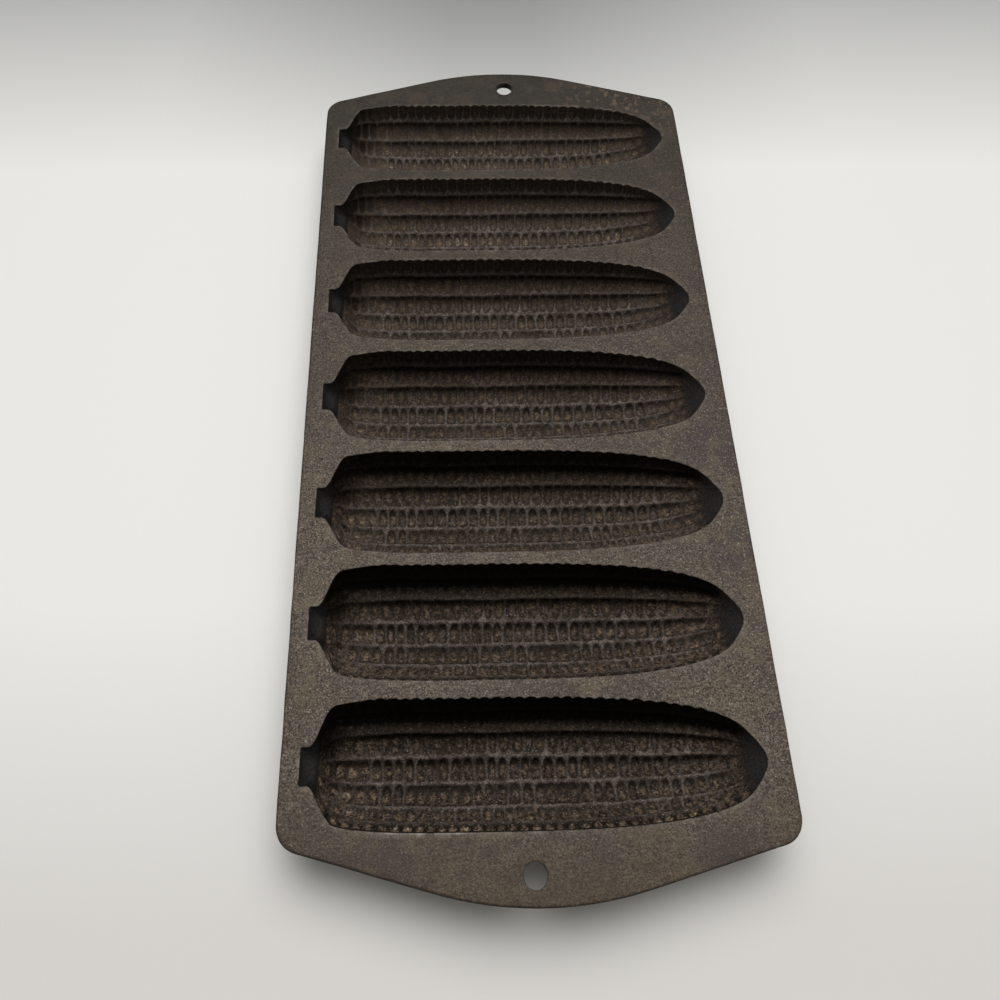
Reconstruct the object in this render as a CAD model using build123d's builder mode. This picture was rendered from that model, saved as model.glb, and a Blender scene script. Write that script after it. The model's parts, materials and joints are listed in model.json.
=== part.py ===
# Cast iron corn stick pan: a flat deck with seven ear-shaped moulds sunk into it and an
# arched tab with a hanging hole at each end. The real pan is one casting. Each named region
# of it is its own closed solid here, and the regions meet face to face.
# X points to the tips of the ears, Y runs along the row of moulds and Z is up. The origin is
# on the surface that the pan stands on, below the middle of the deck.
import os
from math import ceil, pi, sqrt

from build123d import *

os.makedirs("parts", exist_ok=True)

# Deck
mould_count = 7
deck_width = 146.0
deck_thickness = 2.8
web_width = 5.4  # flat land between two neighbouring ears
corner_radius = 8.0
edge_round = 0.6  # soft edge all round the deck

# End tabs
tab_slope_share = 0.31  # rise of the tab's flanks over their run
crown_radius = 100.0
hole_radius = 3.4
hole_inset = 9.7  # from the crown to the middle of the hanging hole
hole_offset = 1.9  # each hole sits this far to its own right of the middle line

# Ear-shaped cavity, a body of revolution whose axis lies a little above the deck
stalk_land = 5.7  # deck left behind the stalk's end
tip_land = 7.1  # deck left in front of the tip
ear_half_width = 18.4  # at the deck's top
ear_axis_height = 2.6  # above the deck's top
stalk_half_width = 5.6
stalk_length = 3.4
tip_half_width = 1.9
shoulder_slope_share = 1.86  # steepness of the wall from the stalk to the shoulder
nose_slope_share = 1.24  # steepness of the wall behind the tip
widest_share = 0.355  # place of the widest section along the ear
stalk_taper_share = 0.42  # reach of the rounded taper, as shares of the ear's length
tip_taper_share = 0.65
taper_power = 3.4
taper_root = 0.4
blend_power = 12  # softens the corners where a taper meets a straight wall

# Kernels
row_count = 7
kernel_pitch = 3.5  # along the ear
kernel_depth = 0.9  # of a kernel's pocket, below the ridges between the rows
cross_ridge_drop = 0.25  # the ridges between kernels of a row are this much lower
row_pitch = 7.46  # along the widest section, from ridge to ridge
row_ridge_width = 1.0
row_shift = 1.45  # the rows are turned this far towards the far rim
rowed_start_share = 0.11  # stretch of the ear that has kernels, as shares of its length
rowed_end_share = 0.93
pocket_root = 1.5  # how far each row's cutter reaches into the open cavity

# Cup walls
wall = 3.4
rim_wall_share = 0.36  # the collar round a cavity takes this share of the web
foot_depth = 0.4  # flat that each cup stands on, cut into its rounded bottom
wall_step = 1.75  # between the points of the walls at an ear's ends, at most
collar_step = 8.5  # between the points of the collar's outline, at most
shell_step = 14.5  # length along the ear of one arc of the shell's outline, at most

# Sizes that follow
pitch = 2 * ear_half_width + web_width
row_length = mould_count * pitch
tab_base = row_length / 2
flank_rise = tab_slope_share * deck_width / 2
crown_y = tab_base + flank_rise - crown_radius * (sqrt(1 + tab_slope_share**2) - 1)
ear_start = -deck_width / 2 + stalk_land
ear_tip = deck_width / 2 - tip_land
ear_length = ear_tip - ear_start
stalk_end = ear_start + stalk_length
widest_x = ear_start + widest_share * ear_length
ear_radius = sqrt(ear_half_width**2 + ear_axis_height**2)
stalk_radius = sqrt(stalk_half_width**2 + ear_axis_height**2)
tip_radius = sqrt(tip_half_width**2 + ear_axis_height**2)
cup_radius = ear_radius + kernel_depth + wall
ear_axis_z = cup_radius - foot_depth
deck_top = ear_axis_z - ear_axis_height
deck_bottom = deck_top - deck_thickness
rim_wall = rim_wall_share * web_width
row_angle = 360 * row_pitch / (2 * pi * ear_radius)
ridge_angle = 360 * row_ridge_width / (2 * pi * ear_radius)
shift_angle = 360 * row_shift / (2 * pi * ear_radius)
mould_places = [(mould_count - 1) / 2 - index for index in range(mould_count)]


def taper(x, radius):
    """Radius of the ear's rounded body at x, for a body of the given widest radius."""
    if x < widest_x:
        reach = stalk_taper_share * ear_length
    else:
        reach = tip_taper_share * ear_length
    share = min(abs(x - widest_x) / reach, 1)
    return radius * (1 - share**taper_power) ** taper_root


def blend(first, second):
    """The smaller of two radii, with a soft corner where they cross."""
    if min(first, second) <= 0:
        return 0
    return min(first, second) / (1 + (min(first, second) / max(first, second)) ** blend_power) ** (
        1 / blend_power
    )


def cavity_radius(x):
    """Radius of the cavity at x, from the ear's axis to the crests of the ridges."""
    if x < widest_x:
        wall_line = stalk_radius + shoulder_slope_share * (x - stalk_end)
    else:
        wall_line = tip_radius + nose_slope_share * (ear_tip - x)
    return blend(taper(x, ear_radius), wall_line)


def shell_radius(x):
    """Radius of the cup's outside at x, a wall's thickness out from the cavity."""
    if x < widest_x:
        wall_line = stalk_radius + shoulder_slope_share * (x - stalk_end)
        wall_line += wall * sqrt(1 + shoulder_slope_share**2)
        wall_line = max(wall_line, stalk_radius + wall)
    else:
        wall_line = tip_radius + nose_slope_share * (ear_tip - x)
        wall_line += wall * sqrt(1 + nose_slope_share**2)
    return blend(taper(x, ear_radius) + kernel_depth + wall, wall_line)


def rim_half_width(x):
    """Half the cavity's width at x, where the deck's top cuts its body of revolution."""
    return sqrt(max(cavity_radius(x) ** 2 - ear_axis_height**2, 0))


def collar_point(x):
    """Point of the collar's outline, a collar's width out from the cavity's rim."""
    run_in = max(x - wall_step, stalk_end)
    run_out = min(x + wall_step, ear_tip)
    rise = (rim_half_width(run_out) - rim_half_width(run_in)) / (run_out - run_in)
    reach = rim_wall / sqrt(1 + rise**2)
    return (x - rise * reach, rim_half_width(x) + reach)


def stations(start, end, longest):
    """Evenly spaced places from start to end, no further apart than the longest step."""
    steps = ceil((end - start) / longest)
    return [start + (end - start) * index / steps for index in range(steps + 1)]


# Cavity: the smooth body first, then a scalloped sector for each row of kernels
kernel_joints = stations(
    ear_start + rowed_start_share * ear_length,
    ear_start + rowed_end_share * ear_length,
    kernel_pitch,
)
shoulder_stations = stations(stalk_end, kernel_joints[0], wall_step)
nose_stations = stations(kernel_joints[-1], ear_tip, wall_step)
body_stations = shoulder_stations[1:] + kernel_joints[1:-1] + nose_stations

with BuildPart() as cavity:
    with BuildSketch(Plane.XZ):
        with BuildLine():
            Polyline(
                (ear_start, 0),
                (ear_start, stalk_radius),
                (stalk_end, stalk_radius),
                *[(x, cavity_radius(x)) for x in body_stations],
                (ear_tip, 0),
                close=True,
            )
        make_face()
    revolve(axis=Axis.X)

    # Rows lie side by side. The last one runs out through the far rim and scallops it.
    for row in range(row_count):
        middle = (row - (row_count - 1) / 2) * row_angle + shift_angle
        first_ridge = Plane.XY.rotated((-90 + middle - row_angle / 2 + ridge_angle / 2, 0, 0))
        with BuildSketch(first_ridge):
            with BuildLine():
                for start, end in zip(kernel_joints, kernel_joints[1:]):
                    middle_x = (start + end) / 2
                    ThreePointArc(
                        (start, cavity_radius(start) + cross_ridge_drop),
                        (middle_x, cavity_radius(middle_x) + kernel_depth),
                        (end, cavity_radius(end) + cross_ridge_drop),
                    )
                first, last = kernel_joints[0], kernel_joints[-1]
                Polyline(
                    (last, cavity_radius(last) + cross_ridge_drop),
                    *[(x, cavity_radius(x) - pocket_root) for x in reversed(kernel_joints)],
                    (first, cavity_radius(first) + cross_ridge_drop),
                )
            make_face()
        revolve(axis=Axis.X, revolution_arc=row_angle - ridge_angle)


# Cup, with the ear's axis on X: a shell below the deck, a collar through it, and the cavity
shell_stations = stations(ear_start - wall, ear_tip + wall, shell_step)
collar_stations = stations(stalk_end, ear_tip, collar_step)

with BuildPart() as collar:
    with BuildSketch(Plane.XY.offset(-ear_axis_height - deck_thickness)):
        with BuildLine():
            collar_side = Spline(*[collar_point(x) for x in collar_stations])
            Polyline(
                collar_side @ 0,
                (ear_start - rim_wall, stalk_half_width + rim_wall),
                (ear_start - rim_wall, 0),
            )
            Polyline(
                collar_side @ 1,
                (ear_tip + rim_wall, tip_half_width),
                (ear_tip + rim_wall, 0),
            )
            mirror(about=Plane.XZ)
        make_face()
    extrude(amount=deck_thickness)

with BuildPart() as cup:
    with BuildSketch(Plane.XZ):
        with BuildLine():
            for start, end in zip(shell_stations, shell_stations[1:]):
                middle_x = (start + end) / 2
                ThreePointArc(
                    (start, shell_radius(start)),
                    (middle_x, shell_radius(middle_x)),
                    (end, shell_radius(end)),
                )
            Polyline(
                (ear_start - wall, shell_radius(ear_start - wall)),
                (ear_start - wall, 0),
                (ear_tip + wall, 0),
                (ear_tip + wall, shell_radius(ear_tip + wall)),
            )
        make_face()
    revolve(axis=Axis.X)
    with BuildSketch(Plane.XY.offset(-ear_axis_z)):
        Rectangle(deck_width, 2 * cup_radius)
    extrude(amount=deck_bottom, mode=Mode.INTERSECT)
    add(collar.part)
    add(cavity.part, mode=Mode.SUBTRACT)

# Neighbouring shells meet on the plane midway between their moulds. The outer ones stay round.
for number, place in enumerate(mould_places, start=1):
    rear_reach = cup_radius if place == mould_places[0] else pitch / 2
    front_reach = cup_radius if place == mould_places[-1] else pitch / 2
    with BuildPart() as mould:
        with Locations((0, place * pitch, ear_axis_z)):
            add(cup.part)
        with BuildSketch():
            with Locations((0, place * pitch + (rear_reach - front_reach) / 2)):
                Rectangle(deck_width, rear_reach + front_reach)
        extrude(amount=ear_axis_z, mode=Mode.INTERSECT)
    mould.part.label = f"corn_mould_{number}"
    export_step(mould.part, f"parts/{mould.part.label}.step")

# Deck: one plate with soft edges, then the part that holds the cups and the two tabs
with BuildPart() as blank:
    with BuildSketch(Plane.XY.offset(deck_bottom)):
        with BuildLine():
            Polyline(
                (-deck_width / 2, 0),
                (-deck_width / 2, tab_base),
                (0, tab_base + flank_rise),
                (deck_width / 2, tab_base),
                (deck_width / 2, 0),
            )
            mirror(about=Plane.XZ)
        make_face()
        crowns = vertices().group_by(Axis.X)[1]
        fillet(crowns, radius=crown_radius)
        corners = vertices().group_by(Axis.X)[0] + vertices().group_by(Axis.X)[-1]
        fillet(corners, radius=corner_radius)
    extrude(amount=deck_thickness)
    outer_edges = faces().filter_by(Axis.Z).edges()
    fillet(outer_edges, radius=edge_round)

with BuildPart() as deck_plate:
    add(blank.part)
    with BuildSketch(Plane.XY.offset(deck_bottom)):
        Rectangle(deck_width, row_length)
    extrude(amount=deck_thickness, mode=Mode.INTERSECT)
    with Locations(*[(0, place * pitch, ear_axis_z) for place in mould_places]):
        add(collar.part, mode=Mode.SUBTRACT)
deck_plate.part.label = "deck_plate"
export_step(deck_plate.part, "parts/deck_plate.step")

for side, name in ((1, "hanging_tab_rear"), (-1, "hanging_tab_front")):
    with BuildPart() as tab:
        add(blank.part)
        with BuildSketch(Plane.XY.offset(deck_bottom)):
            with Locations((0, side * (tab_base + flank_rise / 2))):
                Rectangle(deck_width, flank_rise)
        extrude(amount=deck_thickness, mode=Mode.INTERSECT)
        with Locations((side * hole_offset, side * (crown_y - hole_inset), deck_top)):
            Hole(radius=hole_radius)
    tab.part.label = name
    export_step(tab.part, f"parts/{name}.step")
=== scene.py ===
# Cast iron corn stick pan, dressed for rendering. The pan is one casting, so each piece rides on
# the one body and stands for one region of it. Lengths are in millimetres and angles in degrees
# until the meshes are written. X points to the tips of the ears, Y to the far end and Z up.
import itertools
import json
import math

import bmesh
import bpy
import numpy as np
from mathutils import Matrix, Vector
from mathutils.geometry import delaunay_2d_cdt


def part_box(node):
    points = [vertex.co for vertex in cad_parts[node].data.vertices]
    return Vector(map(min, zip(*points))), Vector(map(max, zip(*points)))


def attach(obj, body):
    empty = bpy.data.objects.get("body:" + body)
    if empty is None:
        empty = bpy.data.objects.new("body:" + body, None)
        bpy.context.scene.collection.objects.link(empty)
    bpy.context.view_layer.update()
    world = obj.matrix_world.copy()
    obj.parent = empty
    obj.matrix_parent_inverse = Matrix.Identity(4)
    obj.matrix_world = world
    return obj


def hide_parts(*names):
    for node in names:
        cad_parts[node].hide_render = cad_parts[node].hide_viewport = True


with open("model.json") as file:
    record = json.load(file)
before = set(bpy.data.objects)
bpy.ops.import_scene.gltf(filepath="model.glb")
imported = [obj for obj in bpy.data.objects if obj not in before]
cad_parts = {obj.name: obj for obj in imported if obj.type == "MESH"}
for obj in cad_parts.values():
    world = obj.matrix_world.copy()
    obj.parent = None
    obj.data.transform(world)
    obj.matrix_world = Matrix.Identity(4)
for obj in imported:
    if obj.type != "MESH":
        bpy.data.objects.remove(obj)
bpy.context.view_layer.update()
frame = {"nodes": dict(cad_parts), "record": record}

MM = 0.001

# Places read from the frame
plate_low, plate_high = (np.array(corner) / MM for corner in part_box("deck_plate"))
deck_half = plate_high[0]
deck_top = plate_high[2]
deck_bottom = plate_low[2]
tab_base = plate_high[1]
crown_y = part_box("hanging_tab_rear")[1][1] / MM
mould_names = sorted(name for name in frame["nodes"] if name.startswith("corn_mould"))
mould_count = len(mould_names)
pitch = 2 * tab_base / mould_count
mould_places = [tab_base - pitch * (index + 0.5) for index in range(mould_count)]
holes = {
    mount["name"]: np.array(mount["pos_m"][:2]) / MM
    for mount in frame["record"]["mounts"]
    if mount["kind"] == "bore"
}

# Deck and tabs
tab_slope = 0.31
crown_radius = 100.0
corner_radius = 8.0
near_crown_share = 0.91  # the near tab's arch is this much as high as the far one's
edge_radius = 0.75
edge_turns = 5  # rings over the edge's rounding
# painted shade on the rings over the deck's rounded edge, darker towards its side face and underside
edge_painted_shade = [0.0, 0.15, 0.4, 0.65, 0.75]
edge_waver = 0.07
deck_waver = 0.16
seam_bow = 0.3
seam_points = 48
hole_half_width = 3.3
hole_half_length = 3.55
hole_edge = 0.45
hole_points = 56
hole_waver = 0.012
deck_spacing = 4.0  # between the points inside the deck's faces
tab_spacing = 3.0

# Ear-shaped cavity about an axis above the deck
axis_height = 2.6
axis_z = deck_top + axis_height
ear_start = -67.3
ear_tip = 65.9
ear_radius = 18.583
stalk_radius = 6.17
stalk_end = -63.9
tip_radius = 3.22
shoulder_slope = 1.86
nose_slope = 1.24
widest_x = -20.0
stalk_taper = 55.94
tip_taper = 86.58
taper_power = 3.4
taper_root = 0.4
blend_power = 12
shoulder_softness = 2.4
bulge_length = 0.8  # the far side is this much fuller along the shoulder
bulge_peak = 1.0  # and this much more at one place
bulge_x = -59.8
bulge_reach = 2.4
ramp_joint = -62.0
ramp_depth = 6.1
ramp_steep = 2.2
tip_steep = 3.0
facet_softness = 0.5
rim_round_far = 0.35
rim_round_near = 0.6
rim_round_end = 0.4
collar_width = 1.944
mould_shifts = [-0.2, -0.65, -0.65, -0.75, 0.0, 0.8, 0.3]  # of each cavity off its even place

# Kernels
row_count = 7
row_angle = 23.0
row_shift = 4.47
ridge_shifts = [4.0, 2.5, -1.0, 0.0, 0.0, 0.0, 0.0, 7.0]
kernel_pitch = 3.5
kernel_depth = 1.3
step_spread = (0.84, 1.16)  # of the joints between kernels, as a share of the pitch
depth_spread = (0.75, 1.1)
height_spread = (-0.35, 0.35)
ridge_strides = (7.3, 3.1)  # through the noises, from one ridge or row to the next
lean_stride = 11.7
joint_stride = 40
# rise of the painted shadow below each ridge, across a row
painted_ridge_shadow_width = 0.55
furrow_share = 0.62  # depth of the worn trough along a row
far_furrow_share = 0.35
ridge_share = 0.11
cross_share = 0.13
round_power = 2.1
square_power = 5.0
joint_count = 44
scallops = [0.85, 0.80, 0.70, 0.60, 0.50, 0.50, 0.60]  # depth of each far rim's scallops

# Marks of use by mould: golden crust over spans of length and angle, and scrapes along a near rim
gold_patches = {
    0: [(28.0, 50.0, -4.0, 26.0), (-54.0, 2.0, 1.0, 27.0)],
    1: [(22.0, 52.0, -8.0, 24.0), (-54.0, 12.0, -6.0, 24.0)],
    5: [(50.0, 58.0, -4.0, 22.0)],
    6: [(-44.0, -18.0, -90.0, -55.0), (33.0, 45.0, -90.0, -52.0)],
}
rim_scrapes = {6: [(-43.0, -18.0)]}
lilac_spots = [  # place and reach on the deck
    (67.0, -22.0, 16.0),
    (68.0, -60.0, 13.0),
    (-46.0, -150.0, 22.0),
    (52.0, -152.0, 11.0),
    (-14.0, -150.0, 3.5),
]
rust_spot = (50.0, 151.0)

# Underside
wall = 3.4
cup_radius = ear_radius + 0.9 + wall
cup_fillet = 1.6
cup_end_round = 1.5
foot_softness = 0.3
halvings = 34

# Fineness of the meshes
column_step = 0.3
row_step = 0.5
shell_columns = 100
shell_rows = 46
relief_x = np.arange(ear_start - 1, ear_tip + 1, 0.25)
relief_angle = np.arange(-96, 96, 0.6)

# Noises of the shapes: strength, size of the lumps, layers and seed
shape_noises = {
    "ridge": (0.9, 13, 1, 70),
    "fine ridge": (0.45, 3, 1, 80),
    "lean": (0.3, 5, 1, 90),
    "joint": (0.6, 11, 1, 100),
    "deck": (0.8, 26, 1, 401),
    "fine deck": (0.35, 7, 1, 402),
    "underside": (0.10, 4.0, 2, 501),
    "crust": (1.0, 1.3, 3, 600),
    "rim": (0.6, 6, 1, 700),
    "gold": (1.3, 4.0, 1, 740),
    "scrape": (1.8, 2.2, 1, 760),
    "edge": (1.0, 9, 1, 801),
    "fine edge": (0.5, 2.5, 1, 802),
}
kernel_seed = 20
grid_seed = 900

# Spans over which things fade in, and out again where there are four ends
fades = {
    "bulge": (-65, -60.5, -50, -32),  # along the ear
    "rows": (-65, -59, 54, 63),
    "kernels": (-64, -59, 44, 60),
    "scallops": (-57, -45, 50, 62),
    "crisp": (-56, -44),
    "past stalk brim": (-67.0, -65.2),
    "stalk joint": (-64.0, -62.6),
    "past stalk facet": (-62.9, -62.2),
    "past corner": (-60, -46),
    "past stalk": (-56, -42),
    "less gold": (0, 30),
    "tip": (28, 50),
    "tip facet": (58.5, 63.5),
    "past near wall": (-70, -20),  # round the ear, in degrees from straight down
    "past near row": (-57, -51),
    "crests": (-57, -44),
    # where the painted shadow below each ridge shows
    "painted_ridge_shadows": (-42, 2),
    # the stalk's far corner, where shade is painted
    "corner": (-8, 34),
    "stalk sides": (12, 40),
    "far bulge": (20, 75),
    # spans on the far wall where the crests are dimmed as painted shade
    "shaded far crests": (22, 38),
    "pale row": (34, 40, 50, 58),
    "shaded farthest crests": (46, 56),
    "pocket edge": (0.92, 1.08),  # shares of a pocket's reach
    "middle": (0.35, 0.85),
    "near row's middle": (0.5, 0.92),
    "off rim's end": (0, 6),  # distances
    "below rim": (0.3, 1.8),
    "below deck": (0.4, 3.0),
    "above foot": (0.02, 1.2),
    "off cup's side": (0.0, 1.0),
}

# Values at the farthest mould and at the nearest one, spread evenly between them
gradings = {
    "crispness": (0.95, 0.62),
    "stalk crispness": (0.8, 0.35),
    # where the painted shadow below each ridge starts, across a row
    "painted ridge shadow start": (-0.15, 0.0),
    # how much the far wall's crests are dimmed, as painted shade
    "painted far crest shade": (0.20, 0.80),
    "crust": (1.6, 0.92),
    # these four paint shade on the far wall and in the stalk's far corner
    "painted far wall shade start": (46, 38),
    "painted far wall shade full": (66, 50),
    "far soot": (0.5, 1.2),
    "corner soot": (0.85, 0.95),
    # strength of the painted shadow below each ridge
    "band soot": (0.28, 0.85),
    # painted shade on the stalk's facet
    "facet soot": (0.2, 0.0),
    "gold patch": (0.35, 1.0),
}

# Noises of the cast iron: scale per millimetre, detail and roughness
noise_kinds = {
    "grain": (1.7, 2.0, 0.6),
    "speck": (1.9, 2.0, 0.6),
    "fleck": (2.1, 0.0, 0.5),
    "mote": (1.15, 2.0, 0.6),
    "blob": (0.55, 2.0, 0.55),
    "tint": (0.42, 3.0, 0.65),
    "rust": (0.36, 1.0, 0.5),
    "medium": (0.3, 3.0, 0.6),
    "patch": (0.13, 3.0, 0.55),
    "tan": (0.11, 4.0, 0.65),
    "broad": (0.06, 3.0, 0.55),
    "stain": (0.03, 4.0, 0.6),
}
streak_stretch = (0.3, 1.5, 1.0)

palette = {
    "deck pit": (0.032, 0.0235, 0.02),
    "warm deck pit": (0.034, 0.0265, 0.0185),
    "deck grain": (0.126, 0.098, 0.083),
    "warm deck grain": (0.165, 0.133, 0.096),
    "stain": (0.046, 0.032, 0.03),
    "shade": (0.02, 0.015, 0.012),
    "lilac": (0.042, 0.031, 0.035),
    "golden": (0.118, 0.09, 0.058),
    "pale speck": (0.29, 0.245, 0.185),
    "pinhole": (0.006, 0.005, 0.004),
    "near brown": (0.05, 0.035, 0.022),
    "streak": (0.03, 0.023, 0.018),
    # painted shade, darker towards the far end
    "painted far end shade": (0.0015, 0.0012, 0.001),
    "tan": (0.062, 0.046, 0.03),
    "rust": (0.15, 0.098, 0.066),
    "pocket": (0.001, 0.0007, 0.0005),
    "pocket grain": (0.011, 0.0076, 0.0056),
    "lilac crust": (0.118, 0.089, 0.079),
    "brown crust": (0.144, 0.1, 0.071),
    "golden crust": (0.24, 0.168, 0.1),
    "ridge": (0.068, 0.053, 0.046),
    "bare ridge": (0.19, 0.154, 0.135),
    "cavity fleck": (0.27, 0.23, 0.185),
    "gold": (0.245, 0.172, 0.092),
    "sparkle": (0.38, 0.335, 0.27),
    "facet": (0.01, 0.0097, 0.01),
    "facet grain": (0.03, 0.028, 0.028),
    # painted shade, nearly black
    "soot": (0.001, 0.0008, 0.0007),
    "worn rim": (0.2, 0.178, 0.152),
    "scraped rim": (0.4, 0.36, 0.32),
    "sheen": (1.0, 0.88, 0.74),
    "floor": (0.8, 0.795, 0.77),
    # painted shade on the floor
    "painted far floor shade": (0.43, 0.43, 0.42),
    "painted shade behind the pan": (0.22, 0.22, 0.215),
    "painted front floor shade": (0.65, 0.635, 0.605),
    "daylight": (1.0, 0.985, 0.965),
}


def smooth_step(low, high, value):
    """From 0 at low to 1 at high, without corners."""
    share = np.clip((value - low) / (high - low), 0, 1)
    return share * share * (3 - 2 * share)


def window(ends, value):
    """From 0 to 1 over the first two ends, and back to 0 over the last two where there are four."""
    share = smooth_step(*ends[:2], value)
    return share * (1 - smooth_step(*ends[2:], value)) if ends[2:] else share


def fade(name, value):
    return window(fades[name], value)


def graded(nearness):
    """The gradings' values for one mould."""
    return {name: far + (near - far) * nearness for name, (far, near) in gradings.items()}


def between(low, high, softness, value):
    """A window from low to high whose ends are soft to both sides."""
    return window((low - softness, low + softness, high - softness, high + softness), value)


def soft_min(first, second, reach):
    """The smaller of two values, rounded where they are closer than reach."""
    overlap = np.maximum(reach - np.abs(first - second), 0)
    return np.minimum(first, second) - overlap**2 / (4 * reach)


def soft_max(first, second, reach):
    """The larger of two values, rounded where they are closer than reach."""
    return -soft_min(-first, -second, reach)


lattices = {}


def lattice_noise(points, size, seed):
    """Smooth noise from -1 to 1 at points, in lumps of about the given size."""
    side = 32
    if seed not in lattices:
        lattices[seed] = np.random.default_rng(seed).uniform(-1, 1, (side, side, side))
    cell = np.asarray(points) / size
    low = np.floor(cell).astype(int)
    share = cell - low
    share = share * share * (3 - 2 * share)
    total = np.zeros(cell.shape[:-1])
    for corner in itertools.product((0, 1), repeat=3):
        index = (low + corner) % side
        weight = np.prod(np.where(corner, share, 1 - share), axis=-1)
        total += weight * lattices[seed][index[..., 0], index[..., 1], index[..., 2]]
    return total


def lumps(name, points, shift=0):
    """A named noise of the shapes at points, with finer and weaker layers on top of the first."""
    strength, size, layers, seed = shape_noises[name]
    total = 0
    for layer in range(layers):
        total = total + lattice_noise(points, size / 2**layer, seed + shift + layer) / 2**layer
    return strength * total


def on_line(x, y=0.0):
    """Points along X, for noise over the ear's length."""
    return np.stack([x, 0 * x + y, 0 * x], axis=-1)


# Ear
def taper(x):
    reach = np.where(x < widest_x, stalk_taper, tip_taper)
    share = np.minimum(np.abs(x - widest_x) / reach, 1)
    return ear_radius * (1 - share**taper_power) ** taper_root


def power_min(first, second):
    small = np.maximum(np.minimum(first, second), 1e-6)
    large = np.maximum(np.maximum(first, second), 1e-6)
    return small / (1 + (small / large) ** blend_power) ** (1 / blend_power)


def body_radius(x):
    """Radius of the cavity's body of revolution at x, to the crests of the ridges."""
    shoulder = stalk_radius + soft_max(shoulder_slope * (x - stalk_end), 0 * x, shoulder_softness)
    nose = tip_radius + nose_slope * (ear_tip - x)
    return power_min(taper(x), np.where(x < widest_x, shoulder, nose))


def shell_radius(x):
    """Radius of the cup's outside at x."""
    shoulder = stalk_radius + wall * math.hypot(1, shoulder_slope)
    shoulder = shoulder + shoulder_slope * (x - stalk_end)
    shoulder = soft_max(shoulder, 0 * x + stalk_radius + wall, shoulder_softness)
    nose = tip_radius + nose_slope * (ear_tip - x) + wall * math.hypot(1, nose_slope)
    grown = taper(x) + cup_radius - ear_radius
    return power_min(grown, np.where(x < widest_x, shoulder, nose))


def far_bulge(x):
    """How much fuller the far side is than the near one, behind the stalk."""
    peak = np.exp(-(((x - bulge_x) / bulge_reach) ** 2))
    return bulge_length * fade("bulge", x) + bulge_peak * peak


# Kernel relief, as tables over the ear's length and the angle from straight down
def blur(table, cells, axis):
    """Running average of a table by a small bell curve."""
    reach = int(math.ceil(3 * cells))
    offsets = np.arange(-reach, reach + 1)
    weights = np.exp(-0.5 * (offsets / cells) ** 2)
    weights /= weights.sum()
    padding = [(0, 0), (0, 0)]
    padding[axis] = (reach, reach)
    padded = np.pad(table, padding, mode="edge")
    size = table.shape[axis]
    return sum(
        weight * np.take(padded, np.arange(size) + shift, axis=axis)
        for shift, weight in enumerate(weights)
    )


def smear(table, along, round_it):
    return blur(blur(table, along, 0), round_it, 1)


def ridge_lines():
    """Angle of every ridge along the ear, a little wavy."""
    ridges = []
    for ridge, shift in enumerate(ridge_shifts):
        middle = (ridge - row_count / 2) * row_angle + row_shift
        slow = lumps("ridge", on_line(relief_x) + ridge_strides[0] * ridge)
        quick = lumps("fine ridge", on_line(relief_x) + ridge_strides[1] * ridge)
        ridges.append(middle + slow + quick + shift)
    return ridges


def across_row(ridges, row):
    """From -1 at a row's near ridge to 1 at its far one."""
    low, high = ridges[row][:, None], ridges[row + 1][:, None]
    return 2 * (relief_angle[None, :] - low) / (high - low) - 1


def rounded_end(row, across):
    """Where a row's pockets end round: all over in the near row, else at one end."""
    if row == 0:
        return np.ones_like(across, bool)
    if row == 1:
        return across < -0.7
    return across > 0 if row <= row_count // 2 else across < 0


def furrow_profile(ridges):
    """A smooth trough from ridge to ridge, where the kernels have worn away."""
    profile = np.zeros((len(relief_x), len(relief_angle)))
    for row in range(row_count):
        share = far_furrow_share if row == row_count - 1 else 1.0
        trough = np.clip(1 - np.abs(across_row(ridges, row)) ** 2.5, 0, 1)
        profile = np.maximum(profile, share * trough)
    return profile


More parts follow.
